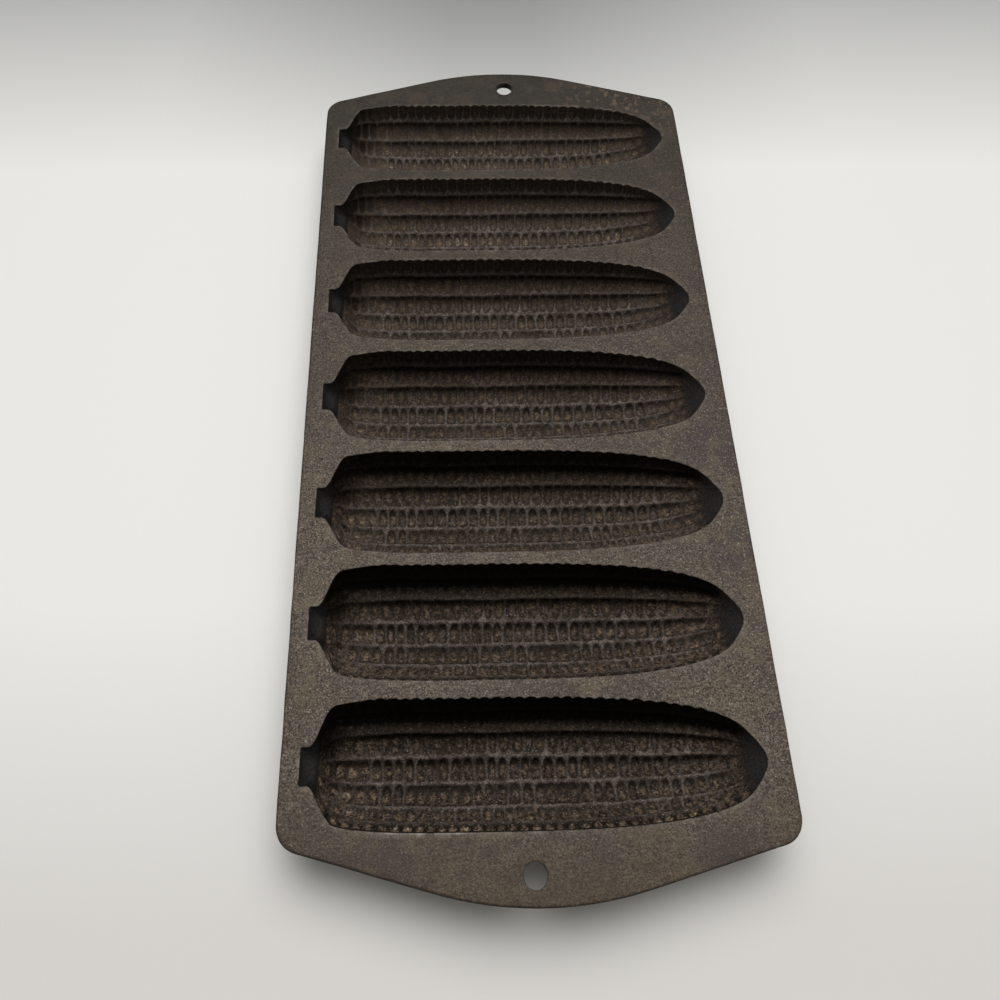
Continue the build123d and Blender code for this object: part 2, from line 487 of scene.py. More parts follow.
def kernel_relief(grade, scallop):
    """Tables of the pockets' depth, of the ridges, of the pockets' middles and of the painted shadow
    below each ridge.
    """
    rng = np.random.default_rng(kernel_seed)
    x = relief_x[:, None]
    ridges = ridge_lines()
    blank = np.zeros((len(relief_x), len(relief_angle)))
    tables = [blank, blank, blank + 1, blank, blank]
    crisp = grade["stalk crispness"] + (1 - grade["stalk crispness"]) * fade("crisp", x)
    crisp = crisp * fade("kernels", x)
    painted_ridge_shadow_start = grade["painted ridge shadow start"]
    for row in range(row_count):
        across = across_row(ridges, row)
        steps = kernel_pitch * rng.uniform(*step_spread, joint_count)
        joints = ear_start + rng.uniform(0, kernel_pitch) + np.cumsum(steps) - 2 * kernel_pitch
        lean = lumps("lean", on_line(relief_x) + lean_stride * row)[:, None] * across
        index = np.clip(np.searchsorted(joints, x + lean) - 1, 0, joint_count - 2)
        along = 2 * (x + lean - joints[index]) / (joints[index + 1] - joints[index]) - 1
        u = np.abs(along) / (1 - cross_share)
        v = np.abs(across) / (1 - ridge_share)
        roundness = np.where(rounded_end(row, across), round_power, square_power)
        reach = (u**roundness + v**roundness) ** (1 / roundness)
        depth = rng.uniform(*depth_spread, joint_count)[index]
        height = grade["crispness"] + lumps("joint", on_line(joints, joint_stride * row))
        height = height + rng.uniform(*height_spread, joint_count)
        height = np.clip(height, 0.15, 1.0)[index + (along > 0)]
        pocket = depth * np.clip(1 - reach**3.2, 0, 1) ** 0.7 * crisp
        trough = (1 - height) * np.clip(1 - v**4, 0, 1) * crisp
        if row == row_count - 1:
            arch = np.clip(1 - np.abs(along) ** 2.4, 0, 1) * np.clip(1 - v**6, 0, 1)
            pocket, trough = scallop * depth * arch * fade("scallops", x), 0.3 * trough
        crest = fade("pocket edge", reach) * np.where(v > 0.96, 1.0, height)
        middle = 1 - fade("near row's middle" if row == 0 else "middle", reach)
        # Painted shadow on the far part of each row, just below its ridge.
        painted_ridge_shadow = window((painted_ridge_shadow_start, painted_ridge_shadow_start + painted_ridge_shadow_width, 0.90, 0.99), across)
        values = (pocket, np.maximum(trough, 0), crest, middle, painted_ridge_shadow)
        inside = np.abs(across) < 1
        tables = [np.where(inside, value, table) for value, table in zip(values, tables)]
    pockets, troughs, crests, middles, painted_ridge_shadows = tables
    rowed = fade("rows", x)
    depth = np.maximum(np.maximum(pockets, troughs), 0)
    depth = np.maximum(depth, furrow_profile(ridges) * rowed * furrow_share)
    return (
        kernel_depth * smear(depth, 0.7, 0.8),
        smear(crests * (0.3 + 0.7 * crisp) * rowed, 0.7, 0.8),
        smear(middles, 1.0, 1.0),
        smear(painted_ridge_shadows * rowed, 0.8, 0.8),
    )


def look_up(table, x, degrees):
    """Value of a relief table between its points."""
    u = (x - relief_x[0]) / (relief_x[1] - relief_x[0])
    v = (degrees - relief_angle[0]) / (relief_angle[1] - relief_angle[0])
    u = np.clip(u, 0, len(relief_x) - 1.001)
    v = np.clip(v, 0, len(relief_angle) - 1.001)
    i, j = u.astype(int), v.astype(int)
    s, t = u - i, v - j
    near = table[i, j] * (1 - t) + table[i, j + 1] * t
    far = table[i + 1, j] * (1 - t) + table[i + 1, j + 1] * t
    return near * (1 - s) + far * s


# Cavity
def facet_depth(x):
    """Depth of the plain sloping facets at the stalk's end and at the tip."""
    slope = (ramp_depth - rim_round_end) / (ramp_joint - ear_start)
    ramp = np.where(
        x < ramp_joint,
        rim_round_end + slope * (x - ear_start),
        ramp_depth + ramp_steep * (x - ramp_joint),
    )
    nose = rim_round_end + tip_steep * (ear_tip - x)
    return np.where(x < widest_x, ramp, nose)


def cavity_radius(relief, x, degrees):
    """Distance from the ear's axis to the cavity's surface."""
    bulge = far_bulge(x) * fade("far bulge", degrees)
    body = body_radius(x) + bulge + look_up(relief, x, degrees)
    cosine = np.maximum(np.cos(np.radians(degrees)), 0.02)
    return soft_min(body, (axis_height + facet_depth(x)) / cosine, facet_softness)


def rim_angle(relief, x, side, drop):
    """Angle at which the cavity's surface comes up to the rim's rounded edge."""
    degrees = side * np.degrees(np.arccos((axis_height + drop) / body_radius(x)))
    for _ in range(12):
        radius = np.maximum(cavity_radius(relief, x, degrees), axis_height + drop)
        target = side * np.degrees(np.arccos((axis_height + drop) / radius))
        degrees = 0.5 * (degrees + target)
    return degrees


def round_axis(place, x, degrees, radius):
    """Points at a distance from the ear's axis."""
    radians = np.radians(degrees)
    y = place + radius * np.sin(radians)
    z = axis_z - radius * np.cos(radians)
    return np.stack([x, y, z], axis=-1)


# Meshes
def grid_loop(columns, rows):
    """Indices of a grid's boundary, in four sides, from the near stalk corner round by the tip."""
    index = np.arange(columns * rows).reshape(columns, rows)
    return [index[:, 0], index[-1, :], index[::-1, -1], index[0, ::-1]]


def grid_faces(columns, rows):
    index = np.arange(columns * rows).reshape(columns, rows)
    corners = (index[:-1, :-1], index[1:, :-1], index[1:, 1:], index[:-1, 1:])
    return np.stack([corner.ravel() for corner in corners], axis=-1)


def join_sides(sides):
    return np.concatenate([side[:-1] for side in sides])


def split_loop(loop, sides):
    """A closed loop cut into sides as long as the given ones. Neighbours share a corner."""
    corners = np.cumsum([0] + [len(side) - 1 for side in sides])
    closed = np.append(loop, loop[0])
    return [closed[start:end + 1] for start, end in zip(corners, corners[1:])]


def zip_faces(fine, coarse):
    """Triangles between two chains that run side by side with different counts."""
    faces = []
    i = j = 0
    last_i, last_j = len(fine) - 1, len(coarse) - 1
    while i < last_i or j < last_j:
        if j == last_j or (i < last_i and (i + 1) / last_i <= (j + 1) / last_j):
            faces.append((fine[i], fine[i + 1], coarse[j]))
            i += 1
        else:
            faces.append((fine[i], coarse[j + 1], coarse[j]))
            j += 1
    return faces


def at_height(plan, height):
    return np.column_stack([plan, np.full(len(plan), height)])


def sink(points):
    """The deck's top lies a little uneven, as a sand casting does. It is never above the plain one."""
    flat = points.copy()
    flat[:, 2] = 0
    wave = lumps("deck", flat) + lumps("fine deck", flat)
    wave = 0.5 + 0.5 * np.clip(wave, -1, 1)
    weight = smooth_step(deck_bottom + 0.6, deck_top, points[:, 2])
    sunk = points.copy()
    sunk[:, 2] -= deck_waver * wave * weight
    return sunk


class Casting:
    """One region of the pan while it is put together, with marks of use and of painted shade at its
    points.
    """

    def __init__(self, name):
        self.name = name
        self.total = 0
        self.blocks = []
        self.faces = []
        self.marks = {
            mark: [] for mark in ("hollow", "crest", "crust", "facet", "soot", "gold", "wear")
        }

    def add(self, points, **marks):
        """Adds points with their marks, and returns their indices."""
        self.blocks.append(points)
        for mark, parts in self.marks.items():
            parts.append(np.zeros(len(points)) + np.ravel(marks.get(mark, 0.0)))
        self.total += len(points)
        return np.arange(self.total - len(points), self.total)

    def add_faces(self, faces):
        self.faces += [list(face) for face in faces]

    def join(self, inner, outer):
        """Quads between two closed loops with as many points."""
        self.add_faces(np.stack([inner, np.roll(inner, -1), np.roll(outer, -1), outer], axis=-1))

    def finish(self):
        """Writes the closed mesh in metres and hangs it in the frame."""
        points = sink(np.concatenate(self.blocks))
        mesh = bpy.data.meshes.new(self.name)
        mesh.from_pydata((points * MM).tolist(), [], self.faces)
        for mark, parts in self.marks.items():
            attribute = mesh.attributes.new(mark, "FLOAT", "POINT")
            attribute.data.foreach_set("value", np.concatenate(parts).astype(np.float32))
        shape = bmesh.new()
        shape.from_mesh(mesh)
        bmesh.ops.remove_doubles(shape, verts=shape.verts, dist=1e-7)
        bmesh.ops.recalc_face_normals(shape, faces=shape.faces)
        shape.to_mesh(mesh)
        shape.free()
        mesh.shade_smooth()
        mesh.set_sharp_from_angle(angle=math.radians(62))
        mesh.materials.append(cast_iron)
        piece = bpy.data.objects.new(self.name, mesh)
        bpy.context.scene.collection.objects.link(piece)
        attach(piece, "root")
        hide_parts(self.name)


# Materials
def colour(name):
    return (*palette[name], 1.0)


class Nodes:
    """A new material and what makes its nodes. Colours are given by their names."""

    def __init__(self, name):
        self.material = bpy.data.materials.new(name)
        self.material.use_nodes = True
        self.tree = self.material.node_tree
        self.tree.nodes.clear()

    def add(self, kind, operation=None, **inputs):
        node = self.tree.nodes.new("ShaderNode" + kind)
        if operation:
            node.operation = operation
        return self.connect(node, **inputs)

    def connect(self, node, **inputs):
        """Sets or links inputs by name, or by number as i0. "_" stands for a space."""
        for key, value in inputs.items():
            numbered = key[0] == "i" and key[1:].isdigit()
            socket = node.inputs[int(key[1:]) if numbered else key.replace("_", " ")]
            if isinstance(value, bpy.types.NodeSocket):
                self.tree.links.new(value, socket)
            else:
                socket.default_value = colour(value) if isinstance(value, str) else value
        return node

    def noise(self, place, scale, detail, roughness):
        node = self.add("TexNoise", Vector=place, Scale=scale, Detail=detail, Roughness=roughness)
        return node.outputs["Fac"]

    def span(self, value, low, high, out_low=0.0, out_high=1.0):
        """A value mapped from one range to another, and held at its ends."""
        ends = {"From_Min": low, "From_Max": high, "To_Min": out_low, "To_Max": out_high}
        return self.add("MapRange", Value=value, **ends).outputs["Result"]

    def maths(self, operation, first, *others):
        for other in others or (0.0,):
            first = self.add("Math", operation, i0=first, i1=other).outputs[0]
        return first

    def times(self, first, *others):
        return self.maths("MULTIPLY", first, *others)

    def mix(self, factor, first, second):
        """The second colour over the first, as much as the factor says."""
        node = self.add("Mix")
        node.data_type = "RGBA"
        self.connect(node, i0=factor, i6=first, i7=second)
        return node.outputs[2]

    def layers(self, colour, *layers):
        """Colours over the first one, each as much as the factor before it says."""
        for factor, name in layers:
            colour = self.mix(factor, colour, name)
        return colour

    def mark(self, name):
        node = self.add("Attribute")
        node.attribute_name = name
        return node.outputs["Fac"]

    def output(self, shader):
        self.add("OutputMaterial", Surface=shader.outputs["BSDF"])
        return self.material


def deck_colour(n, noises, mm, x, y):
    """Sand-cast grain in brown grey, with browner and more purple patches, rust, and painted shade
    darker towards the far end.
    """

    def distance(spot_x, spot_y):
        spot = (spot_x, spot_y, deck_top)
        return n.add("VectorMath", "DISTANCE", i0=mm, i1=spot).outputs["Value"]

    grain, medium, patch, blob = (noises[name] for name in ("grain", "medium", "patch", "blob"))
    warm = n.span(noises["broad"], 0.40, 0.60)
    pits = n.mix(warm, "deck pit", "warm deck pit")
    grains = n.mix(warm, "deck grain", "warm deck grain")
    lilac = n.span(patch, 0.54, 0.66, 0.0, 0.4)
    for spot_x, spot_y, reach in lilac_spots:
        spot = n.span(distance(spot_x, spot_y), 0.35 * reach, reach, 1.0, 0.0)
        lilac = n.maths("MAXIMUM", lilac, n.times(spot, n.span(patch, 0.34, 0.56, 0.3, 1.0)))
    specks = n.span(noises["speck"], 0.57, 0.70, 0.0, 0.9)
    stretched = n.add("VectorMath", "MULTIPLY", i0=mm, i1=streak_stretch).outputs["Vector"]
    streak = n.noise(stretched, 1.0, 2.0, 0.5)
    rusty = n.span(distance(*rust_spot), 8.0, 32.0, 1.0, 0.0)
    rusty = n.times(rusty, n.span(noises["rust"], 0.55, 0.68))
    aside = n.times(n.span(x, 30.0, 62.0), n.span(y, 20.0, 130.0))
    aside = n.times(aside, n.span(blob, 0.60, 0.68, 0.0, 0.8))
    return n.layers(
        n.mix(n.span(grain, 0.40, 0.59), pits, grains),
        (n.span(noises["stain"], 0.46, 0.62, 0.0, 0.6), "stain"),
        (n.span(medium, 0.30, 0.70, 0.35, 0.0), "shade"),
        (lilac, "lilac"),
        (n.span(patch, 0.46, 0.34, 0.0, 0.5), "golden"),
        (n.times(specks, n.span(y, -152.0, -132.0, 0.55, 1.0)), "pale speck"),
        (n.span(noises["fleck"], 0.25, 0.34, 0.9, 0.0), "pinhole"),
        (n.span(y, -128.0, -158.0, 0.0, 0.5), "near brown"),
        (n.span(streak, 0.45, 0.62, 0.0, 0.32), "streak"),
        # Painted shade, darker towards the far end.
        (n.span(y, -40.0, 150.0, 0.0, 0.84), "painted far end shade"),
        (n.times(n.span(noises["tan"], 0.48, 0.70, 0.0, 0.45), n.span(y, 20.0, 80.0)), "tan"),
        (n.times(n.maths("MAXIMUM", rusty, aside), 0.55), "rust"),
    )


def cavity_colour(n, noises, y):
    """Nearly black, with specks of brown, golden and lilac crust and paler metal on the ridges."""
    grain, tint, mote, blob = (noises[name] for name in ("grain", "tint", "mote", "blob"))
    gold = n.mark("gold")
    pocket = n.mix(n.span(grain, 0.35, 0.65), "pocket", "pocket grain")
    crust = n.mix(n.span(tint, 0.38, 0.50), "lilac crust", "brown crust")
    crust = n.mix(n.span(tint, 0.55, 0.68), crust, "golden crust")
    specks = n.times(n.span(mote, 0.36, 0.60), n.span(blob, 0.36, 0.60, 0.2, 1.0))
    even = n.add("Mix", i0=n.span(y, -110.0, 110.0, 0.0, 0.8), i2=specks, i3=0.42)
    inside = n.mix(n.times(even.outputs[0], n.mark("crust")), pocket, crust)
    ridge = n.mix(n.span(grain, 0.35, 0.65), "ridge", "bare ridge")
    bare = n.times(
        n.mark("crest"),
        n.span(noises["medium"], 0.36, 0.60, 0.35, 1.0),
        n.span(grain, 0.30, 0.55, 0.35, 1.0),
    )
    golden = n.times(gold, n.span(blob, 0.34, 0.56, 0.25, 0.9), n.span(mote, 0.35, 0.58, 0.2, 1.0))
    sparkle = n.times(n.span(gold, 0.08, 0.40), n.span(mote, 0.57, 0.66, 0.0, 0.85))
    return n.layers(
        n.mix(bare, inside, ridge),
        (n.span(noises["fleck"], 0.72, 0.80, 0.0, 0.5), "cavity fleck"),
        (golden, "gold"),
        (sparkle, "sparkle"),
        (n.mark("facet"), n.mix(n.span(grain, 0.3, 0.7), "facet", "facet grain")),
    )


def make_cast_iron():
    n = Nodes("cast_iron")
    place = n.add("TexCoord").outputs["Object"]
    mm = n.add("VectorMath", "SCALE", Vector=place, Scale=1 / MM).outputs["Vector"]
    parts = n.add("SeparateXYZ", Vector=mm)
    x, y = parts.outputs["X"], parts.outputs["Y"]
    noises = {name: n.noise(mm, *kind) for name, kind in noise_kinds.items()}
    grain = noises["grain"]
    hollow, soot, wear = n.mark("hollow"), n.mark("soot"), n.mark("wear")

    base = n.layers(
        n.mix(hollow, deck_colour(n, noises, mm, x, y), cavity_colour(n, noises, y)),
        # Nearly black painted shade over the far walls, ridge bands, facets and edges.
        (n.times(soot, 0.94), "soot"),
        (n.times(wear, n.span(noises["medium"], 0.42, 0.60, 0.1, 1.0), 0.55), "worn rim"),
        (n.span(wear, 1.2, 2.8, 0.0, 0.7), "scraped rim"),
    )

    height = n.maths("ADD", n.times(grain, 0.7), n.times(noises["speck"], 0.5))
    bump = n.add("Bump", Strength=0.9, Distance=0.26 * MM, Height=height)
    rough = n.maths("MAXIMUM", n.span(grain, 0.3, 0.7, 0.60, 0.46), n.times(hollow, 0.72), soot)
    dull = n.maths("MAXIMUM", soot, n.times(hollow, 0.45))
    shader = n.add(
        "BsdfPrincipled",
        Base_Color=base,
        Roughness=rough,
        Normal=bump.outputs["Normal"],
        Specular_IOR_Level=n.span(dull, 0.0, 1.0, 0.3, 0.06),
        Specular_Tint="sheen",
    )
    return n.output(shader)


cast_iron = make_cast_iron()

# Moulds
ear_x = np.linspace(ear_start, ear_tip, int(round((ear_tip - ear_start) / column_step)) + 1)
row_total = int(round(math.pi * ear_radius / row_step))


def collar_half(x):
    """Half width of the collar's outline at x, an even width out from the rim of the plain body."""
    near_x = np.linspace(ear_start, ear_tip, 900)
    rim = np.sqrt(body_radius(near_x) ** 2 - axis_height**2)
    gap = collar_width**2 - (x[:, None] - near_x[None, :]) ** 2
    reach = np.where(gap >= -1e-9, rim[None, :] + np.sqrt(np.maximum(gap, 0)), -np.inf)
    return reach.max(axis=1)


def collar_loop(place):
    """The collar's outline in plan, with as many points as the cavity's rim."""
    length = ear_tip - ear_start
    x = ear_start - collar_width + (ear_x - ear_start) * (length + 2 * collar_width) / length
    half = collar_half(x)
    across = np.linspace(-1, 1, row_total + 1)
    near = np.stack([x, place - half], axis=-1)
    far = np.stack([x, place + half], axis=-1)[::-1]
    bow = 0.06 * (1 - across**2)
    tip = np.stack([x[-1] + bow, place + half[-1] * across], axis=-1)
    stalk = np.stack([x[0] - bow, place - half[0] * across], axis=-1)
    return join_sides([near, tip, far, stalk])


def cup_distance(x, y, z):
    """Distance outside the shells of all the cups, negative inside them."""
    step = 0.05
    slope = (shell_radius(x + step) - shell_radius(x - step)) / (2 * step)
    total = np.full(np.shape(x), 1e3)
    for place in mould_places:
        radial = (np.hypot(y - place, z - axis_z) - shell_radius(x)) / np.hypot(1, slope)
        ended = soft_max(radial, (ear_start - wall) - x, cup_end_round)
        total = soft_min(total, ended, cup_fillet)
    return total


def halve(low, high, test):
    """Narrows ranges of numbers down to where the test stops holding."""
    for _ in range(halvings):
        middle = 0.5 * (low + high)
        holds = test(middle)
        low, high = np.where(holds, middle, low), np.where(holds, high, middle)
    return low, high


def underside(x, y):
    """Height of the casting's underside."""

    def outside(z):
        return soft_min(cup_distance(x, y, z), deck_bottom - z, cup_fillet) > 0

    low, high = halve(np.full(np.shape(x), -1.0), np.full(np.shape(x), deck_bottom + 0.5), outside)
    return soft_max(0.5 * (low + high), 0 * low, foot_softness)


def foot_reach(x, place, side, limit):
    """How far a cup's blended foot print reaches sideways at x on the deck's underside."""

    def near(reach):
        return cup_distance(x, place + side * reach, 0 * x + deck_bottom) < cup_fillet

    low, high = halve(np.zeros(len(x)), np.full(len(x), limit), near)
    return np.where(high > limit - 1e-6, limit, 0.5 * (low + high))


def shell_grid(place):
    """Points of the cup's outside, as a grid. Neighbouring cups meet midway between them."""
    start = ear_start - wall - cup_fillet
    ahead = np.linspace(ear_tip, ear_tip + 8, 400)
    gaps = cup_distance(ahead, 0 * ahead + place, 0 * ahead + deck_bottom)
    end = np.interp(cup_fillet, gaps, ahead)
    x = np.linspace(start, end, shell_columns + 1)
    inner = np.clip(x, start + 0.03, end - 0.03)
    outer_limit = cup_radius + 2 * cup_fillet
    low_limit = outer_limit if place == mould_places[-1] else pitch / 2
    high_limit = outer_limit if place == mould_places[0] else pitch / 2
    low = foot_reach(inner, place, -1, low_limit)
    high = foot_reach(inner, place, 1, high_limit)
    share = 0.5 - 0.5 * np.cos(np.pi * np.linspace(0, 1, shell_rows + 1))
    y = place - low[:, None] + (low + high)[:, None] * share[None, :]
    xx = np.repeat(x[:, None], shell_rows + 1, axis=1)
    z = underside(xx, y)
    z[low < low_limit - 1e-4, 0] = deck_bottom
    z[high < high_limit - 1e-4, -1] = deck_bottom
    z[0, :] = deck_bottom
    z[-1, :] = deck_bottom
    points = np.stack([xx, y, z], axis=-1).reshape(-1, 3)
    depth = deck_bottom - points[:, 2]
    rough = fade("below deck", depth) * fade("above foot", points[:, 2])
    edge = np.minimum(points[:, 1] - (place - low_limit), place + high_limit - points[:, 1])
    points[:, 2] += rough * fade("off cup's side", edge) * lumps("underside", points)
    return points


def cavity_marks(number, nearness, tables, x, degrees):
    """Marks of a cavity's points. Near moulds get more painted shade, far ones are more evenly
    crusted.
    """
    crest, middle, painted_ridge_shadow = (look_up(table, x, degrees) for table in tables)
    crest = crest * fade("crests", degrees)
    grade = graded(nearness)
    # The far wall's crests are dimmed: painted shade.
    crest = crest * (1 - grade["painted far crest shade"] * fade("shaded far crests", degrees))
    crest = crest * (1 - nearness * fade("shaded farthest crests", degrees))

    stalk_facet = 1 - fade("past stalk facet", x)
    facet = np.maximum(stalk_facet, fade("tip facet", x))
    # Painted shade at the stalk facet's end, its sides and its joint to the kernels.
    stalk_edge_shade = np.maximum(1 - fade("past stalk brim", x), fade("stalk sides", np.abs(degrees)))
    stalk_edge_shade = np.maximum(stalk_edge_shade, fade("stalk joint", x))

    stalk_zone = 1 - fade("past stalk", x)
    near_zone = 1 - fade("past near wall", degrees)
    crust = 0.20 + 0.70 * middle + 0.30 * stalk_zone + 0.18 * near_zone
    crust = crust + 0.28 * nearness * fade("tip", x)
    crust = crust + (1 - fade("past near row", degrees)) * (1.2 * middle - 0.70)
    crust = crust + 0.22 * (1 - nearness) ** 2 * fade("pale row", degrees)
    crust = np.clip(crust * grade["crust"], 0, 1) * (1 - facet)

    # Painted shade on the far wall and in the stalk's far corner.
    far_wall_shade = smooth_step(grade["painted far wall shade start"], grade["painted far wall shade full"], degrees)
    far_wall_shade = far_wall_shade * min(grade["far soot"], 1.0)
    corner = (1 - fade("past corner", x)) * fade("corner", degrees)
    far_wall_shade = np.maximum(far_wall_shade, grade["corner soot"] * corner)
    # Painted shadow below each ridge.
    painted_ridge_shadow = painted_ridge_shadow * fade("painted_ridge_shadows", degrees) * grade["band soot"]
    soot = np.maximum(far_wall_shade, painted_ridge_shadow) * (1 - 0.75 * crest) * (1 - facet)
    soot = soot + stalk_facet * (grade["facet soot"] + 0.6 * stalk_edge_shade)

    gold = np.zeros_like(x)
    patchy = np.clip(0.45 + lumps("gold", on_line(x)), 0, 1)
    for x_low, x_high, low, high in gold_patches.get(number, []):
        patch = between(x_low, x_high, 2, x) * between(low, high, 3, degrees)
        gold = np.maximum(gold, grade["gold patch"] * patch * middle * patchy)
    thin_gold = 0.24 * nearness * (1 - 0.6 * fade("less gold", x)) * middle
    gold = np.maximum(gold, thin_gold * np.maximum(stalk_zone, near_zone)) * (1 - facet)
    hollow = np.ones_like(x)
    return dict(hollow=hollow, crest=crest, crust=crust, facet=facet, soot=soot, gold=gold)


def add_cavity(casting, place, number, nearness):
    """The cavity's surface, and the indices of its rim in four sides."""
    relief, *tables = kernel_relief(graded(nearness), scallops[number])
    ends = fade("off rim's end", ear_x - ear_start) * fade("off rim's end", ear_tip - ear_x)
    near_angle, far_angle = (
        rim_angle(relief, ear_x, side, rim_round_end + (rounding - rim_round_end) * ends)
        for side, rounding in ((-1, rim_round_near), (1, rim_round_far))
    )
    share = np.linspace(0, 1, row_total + 1)
    degrees = near_angle[:, None] + (far_angle - near_angle)[:, None] * share[None, :]
    x = np.repeat(ear_x[:, None], row_total + 1, axis=1)
    radius = cavity_radius(relief, x, degrees)
    points = round_axis(place, x, degrees, radius)
    marks = cavity_marks(number, nearness, tables, x, degrees)

    build_up = (0.05 + 0.11 * (1 - fade("past stalk", x))) * (1 - 0.8 * marks["facet"])
    build_up = build_up * fade("below rim", deck_top - points[..., 2])
    radius = radius - build_up * lumps("crust", points, 10 * number)
    points = round_axis(place, x, degrees, radius)
    casting.add(points.reshape(-1, 3), **marks)
    casting.add_faces(grid_faces(*x.shape))
    return grid_loop(*x.shape)


def outward_from(loop):
    """Directions in plan away from the inside of a closed loop."""
    forward = np.roll(loop, -1, axis=0) - np.roll(loop, 1, axis=0)
    outward = np.stack([forward[:, 1], -forward[:, 0]], axis=-1)
    outward /= np.maximum(np.linalg.norm(outward, axis=1, keepdims=True), 1e-9)
    for _ in range(3):
        outward = (np.roll(outward, 1, axis=0) + 2 * outward + np.roll(outward, -1, axis=0)) / 4
    return outward / np.linalg.norm(outward, axis=1, keepdims=True)


def add_rim(casting, loop, place, number):
    """The rim's rounding, worn and scraped, then the collar down to the deck's underside."""
    rim = casting.blocks[0][loop]
    outward = outward_from(rim)
    rounding = deck_top - rim[:, 2]
    worn = np.clip(0.85 + lumps("rim", rim, number), 0, 1.2)
    scrape = np.zeros(len(rim))
    for x_low, x_high in rim_scrapes.get(number, []):
        scraped = between(x_low, x_high, 3, rim[:, 0]) * (rim[:, 1] < place)
        scrape += scraped * np.clip(1.3 + lumps("scrape", rim), 0, 3)
    previous = loop
    for turn, hollow, wear_share in ((30, 0.7, 0.5), (60, 0.35, 1.0), (90, 0.1, 0.35)):
        phi = math.radians(turn)
        ring = rim.copy()
        ring[:, :2] += outward * (rounding * (1 - math.cos(phi)))[:, None]
        ring[:, 2] = deck_top - rounding * (1 - math.sin(phi))
        wear = worn * wear_share + scrape * (0.4 + 0.5 * wear_share)
        current = casting.add(ring, hollow=hollow, crest=1.0, wear=wear)
        casting.join(previous, current)
        previous = current
    for height in (deck_top, deck_bottom):
        current = casting.add(at_height(collar_loop(place), height))
        casting.join(previous, current)
        previous = current
    return previous


def add_shell(casting, collar, rim_sides, place):
    """The cup's outside, and the ledge between it and the collar on the deck's underside."""
    shell = shell_grid(place)
    size = (shell_columns + 1, shell_rows + 1)
    start = casting.total
    casting.add(shell)
    casting.add_faces(grid_faces(*size) + start)
    shell_sides = grid_loop(*size)
    shell_loop = join_sides(shell_sides)
    ledge_loop = casting.add(at_height(shell[shell_loop, :2], deck_bottom))
    casting.join(ledge_loop, shell_loop + start)
    for fine, coarse in zip(split_loop(collar, rim_sides), split_loop(ledge_loop, shell_sides)):
        casting.add_faces(zip_faces(fine, coarse))


def make_mould(name, cup_place, number):
    casting = Casting(name)
    place = cup_place + mould_shifts[number]
    rim_sides = add_cavity(casting, place, number, number / (mould_count - 1))
    collar = add_rim(casting, join_sides(rim_sides), place, number)
    add_shell(casting, collar, rim_sides, cup_place)
    casting.finish()


# Deck and tabs
def arc(centre_x, centre_y, radius, start, end, count):
    """Points of an arc with their outward directions."""
    turns = np.linspace(start, end, count)
    cosines, sines = np.cos(turns), np.sin(turns)
    return list(zip(centre_x + radius * cosines, centre_y + radius * sines, cosines, sines))


def outline():
    """The far half of the deck's outline, from right over the crown to left, with normals."""
    turn = math.pi / 2 - math.atan(tab_slope)
    corner_x = deck_half - corner_radius
    corner_y = tab_base - corner_radius * math.tan(turn / 2)
    seam_turn = math.asin((tab_base - corner_y) / corner_radius)
    crown_centre = crown_y - crown_radius
    right = [(deck_half, y, 1.0, 0.0) for y in np.linspace(0, corner_y, 48)[:-1]]
    right += arc(corner_x, corner_y, corner_radius, 0, seam_turn, 9)[:-1]
    seam = len(right)
    right += arc(corner_x, corner_y, corner_radius, seam_turn, turn, 5)
    crown = arc(0.0, crown_centre, crown_radius, turn, math.pi / 2, 13)
    flank_start, crown_start = np.array(right[-1][:2]), np.array(crown[0][:2])
    for share in np.linspace(0, 1, 14)[1:-1]:
        spot = flank_start + (crown_start - flank_start) * share
        right.append((*spot, math.cos(turn), math.sin(turn)))
    right = np.array(right + crown)
    left = right[-2::-1] * [-1, 1, -1, 1]
    return np.concatenate([right, left]), seam


half_outline, seam_index = outline()


def edge_rings(side):
    """Rings of points over the deck's rounded edge for one half, from its top to its underside."""
    chain = half_outline * side
    flat = at_height(chain[:, :2], 0.0)
    waver = edge_waver * (1 + np.clip(lumps("edge", flat) + lumps("fine edge", flat), -1, 1))
    rings = []
    for turn in np.linspace(0, math.pi / 2, edge_turns):
        inset = edge_radius * (1 - math.sin(turn)) + waver
        height = deck_top - edge_radius * (1 - math.cos(turn))
        ring = at_height(chain[:, :2] - chain[:, 2:] * inset[:, None], height)
        if side < 0:
            beyond = np.minimum(ring[:, 1] + tab_base, 0)
            ring[:, 1] -= (1 - near_crown_share) * beyond
        rings.append(ring)
    for ring in rings[::-1]:
        lower = ring.copy()
        lower[:, 2] = deck_top + deck_bottom - ring[:, 2]
        rings.append(lower)
    return rings


def inside_region(points, loops):
    """Whether each point lies inside the first loop and outside the others, by counting crossings."""
    x, y = points[:, :1], points[:, 1:]
    inside = np.zeros(len(points), bool)
    for loop in loops:
        x0, y0 = loop.T
        x1, y1 = np.roll(loop, -1, axis=0).T
        crosses = (y0 > y) != (y1 > y)
        rise = np.where(y1 == y0, 1e-9, y1 - y0)
        hits = crosses & (x < x0 + (y - y0) * (x1 - x0) / rise)
        inside ^= hits.sum(axis=1) % 2 == 1
    return inside


